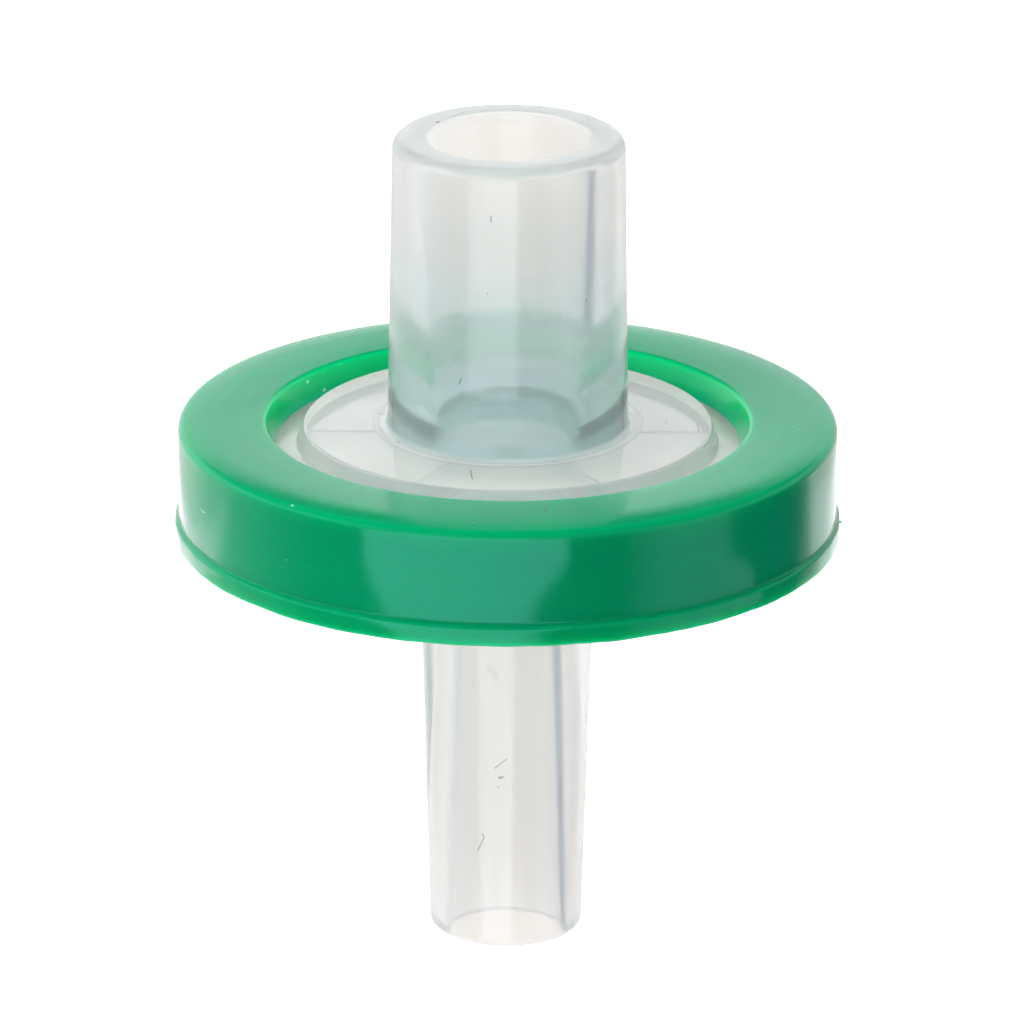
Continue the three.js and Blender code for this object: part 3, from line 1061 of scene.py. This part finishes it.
towards_key = add_node(
    tree, "ShaderNodeVectorMath", {"operation": "DOT_PRODUCT"}, i0=direction, i1=ROOM_KEY
)
brightness = add_node(
    tree, "ShaderNodeMath", {"operation": "MULTIPLY_ADD"},
    i0=towards_key.outputs["Value"], i1=ROOM_SWING, i2=ROOM_LEVEL,
)
ceiling = add_node(
    tree, "ShaderNodeMapRange", {"interpolation_type": "SMOOTHSTEP"},
    Value=upwards, From_Min=CEILING_RISE[0], From_Max=CEILING_RISE[1],
    To_Min=1.0, To_Max=CEILING_LEVEL,
)
room_value = add_node(
    tree, "ShaderNodeMath", {"operation": "MULTIPLY"},
    i0=brightness.outputs[0], i1=ceiling.outputs[0],
)
room = add_node(
    tree, "ShaderNodeVectorMath", {"operation": "SCALE"},
    Vector=ROOM_TINT, Scale=room_value.outputs[0],
)

# %% Blend the room, the cards and the table by height
TABLE = (1.3, 1.3, 1.3, 1)
ROOM_RISE = (-0.12, 0.1)  # from all cards to all room, as sines of the angle upwards
TABLE_FALL = (-0.48, -0.68)  # from all cards to all table

above_cards, below_cards = (
    add_node(
        tree, "ShaderNodeMapRange", {"interpolation_type": "SMOOTHSTEP"},
        Value=upwards, From_Min=start, From_Max=end,
    ).outputs[0]
    for start, end in (ROOM_RISE, TABLE_FALL)
)
upper = add_node(
    tree, "ShaderNodeMix", {"data_type": "RGBA"},
    i0=above_cards, i6=cards.outputs[0], i7=room.outputs[0],
)
studio = add_node(
    tree, "ShaderNodeMix", {"data_type": "RGBA"}, i0=below_cards, i6=upper.outputs[2], i7=TABLE
)
tree.links.new(studio.outputs[2], tree.nodes["Background"].inputs["Color"])
print(f"studio world of {len(tree.nodes)} nodes")

# %% [markdown]
# ## Cards close to the band
# The world is infinitely far away, so its reflection on a straight wall has straight sides. Cards
# that stand close to the wall are mirrored with a shape. Three small ones, seen only in
# reflections, give the bright patches on the band's wall their slanting ends. Two more lie on the
# table behind and brighten the wall's pale left and right edges.

# %% Small cards
LYING = 0.05  # height of a card that lies on the table, in millimetres

# Name, radiance, and the corners in order round the card: degrees from the front, distance from the
# axis and height, in millimetres.
SMALL_CARDS = [
    ("card_left", FRONT_CARD,
     [(-35.1, 13.9, 12.2), (-35.1, 13.9, 10.9), (-26, 13.9, 9.0), (-24, 13.9, 12.2)]),
    ("card_middle", FRONT_CARD,
     [(5, 14, 12.2), (5, 14, 10), (14.6, 14, 11.3), (14.6, 14, 12.2)]),
    ("card_right", (0.8, 0.9, 1.0),
     [(54, 13.2, 11.1), (54, 13.2, 8.8), (66, 13, 8.8), (66, 13, 10.1)]),
    ("card_back_left", (2.3, 1.8, 2.1),
     [(-103, 44, LYING), (-119, 30, LYING), (-172, 30, LYING), (-172, 44, LYING)]),
    ("card_back_right", (1.7, 1.7, 1.7),
     [(121, 44, LYING), (121, 30, LYING), (172, 30, LYING), (172, 44, LYING)]),
]
ROUND_THE_PLANE = (0, 1, 3, 2)  # the order of a plane's points from corner to corner

for name, radiance, corners in SMALL_CARDS:
    bpy.ops.object.select_all(action="DESELECT")
    bpy.ops.mesh.primitive_plane_add(size=1.0)
    card = bpy.context.object
    card.name = name
    for index, corner in zip(ROUND_THE_PLANE, corners):
        card.data.vertices[index].co = Vector(place(*corner)) * MM
    paper, _, paper_shader = new_material(name)
    paper_shader.inputs["Base Color"].default_value = linear("#000000")
    paper_shader.inputs["Emission Color"].default_value = (*radiance, 1)
    paper_shader.inputs["Emission Strength"].default_value = 1.0
    paper.cycles.emission_sampling = "NONE"
    card.data.materials.append(paper)
    card.visible_camera = False
    card.visible_diffuse = False
    card.visible_transmission = False
    card.visible_shadow = False
print(f"{len(SMALL_CARDS)} small cards")

# %% [markdown]
# ## Lamps
# One large softbox overhead gives the plastics their even light. A strip on the left lights the
# band's left side, which the softbox leaves dark. A third lamp lies in the light table and shines
# up into the two shells, so that their milky walls glow, as they do on opal glass. Light linking
# keeps the strip off the shells and the table's glow off the band, whose lower edge would burn out.
# The cards are what the reflections show, so no lamp is seen in them.

# %% Area lamps, in metres and watts
def area_lamp(name, shape, size, energy, location, lit=()):
    """An area lamp that points at the origin. If pieces are listed, it lights only those."""
    bpy.ops.object.light_add(type="AREA", location=location)
    lamp = bpy.context.object
    lamp.name = name
    lamp.data.shape = shape
    lamp.data.size, lamp.data.size_y = size
    lamp.data.energy = energy
    lamp.visible_glossy = False
    lamp.rotation_euler = lamp.location.to_track_quat("Z", "Y").to_euler()
    if lit:
        receivers = bpy.data.collections.new(f"lit by the {name}")
        for piece in lit:
            receivers.objects.link(piece)
        lamp.light_linking.receiver_collection = receivers
    print(f"{name}: {energy} W")
    return lamp


# %% Softbox, strip and table
area_lamp(
    "overhead_softbox", "SQUARE", size=(0.25, 0.25), energy=1.3, location=(-0.03, -0.06, 0.28)
)
area_lamp(
    "left_strip", "RECTANGLE", size=(0.05, 0.1), energy=0.2, location=(-0.2, -0.07, 0.03),
    lit=[band],
)
table_glow = area_lamp(
    "light_table_glow", "DISK", size=(0.06, 0.06), energy=0.009, location=(0, 0, -0.001),
    lit=[inlet, outlet],
)
table_glow.visible_transmission = False
table_glow.visible_camera = False

# %% [markdown]
# ## The camera
# A long lens from a hand's span away, looking down by about twenty degrees, as product pictures
# of small parts are taken. The view transform is Standard, so that the white table stays white.

# %% Camera
LENS = 318.14  # millimetres, on a sensor 36 mm wide
CAMERA_PLACE = (0.0, -0.2227, 0.09224)
AIM = (0.00012, 0.0, 0.01153)
ROLL = 0.25  # degrees

camera_data = bpy.data.cameras.new("camera")
camera_data.sensor_width = 36.0
camera_data.lens = LENS
camera = bpy.data.objects.new("camera", camera_data)
bpy.context.scene.collection.objects.link(camera)
bpy.context.scene.camera = camera
camera.location = CAMERA_PLACE
camera.rotation_euler = (Vector(AIM) - camera.location).to_track_quat("-Z", "Y").to_euler()
camera.rotation_euler.rotate_axis("Z", math.radians(ROLL))
bpy.context.scene.view_settings.view_transform = "Standard"
print(f"camera {camera.location.length / MM:.0f} mm away")
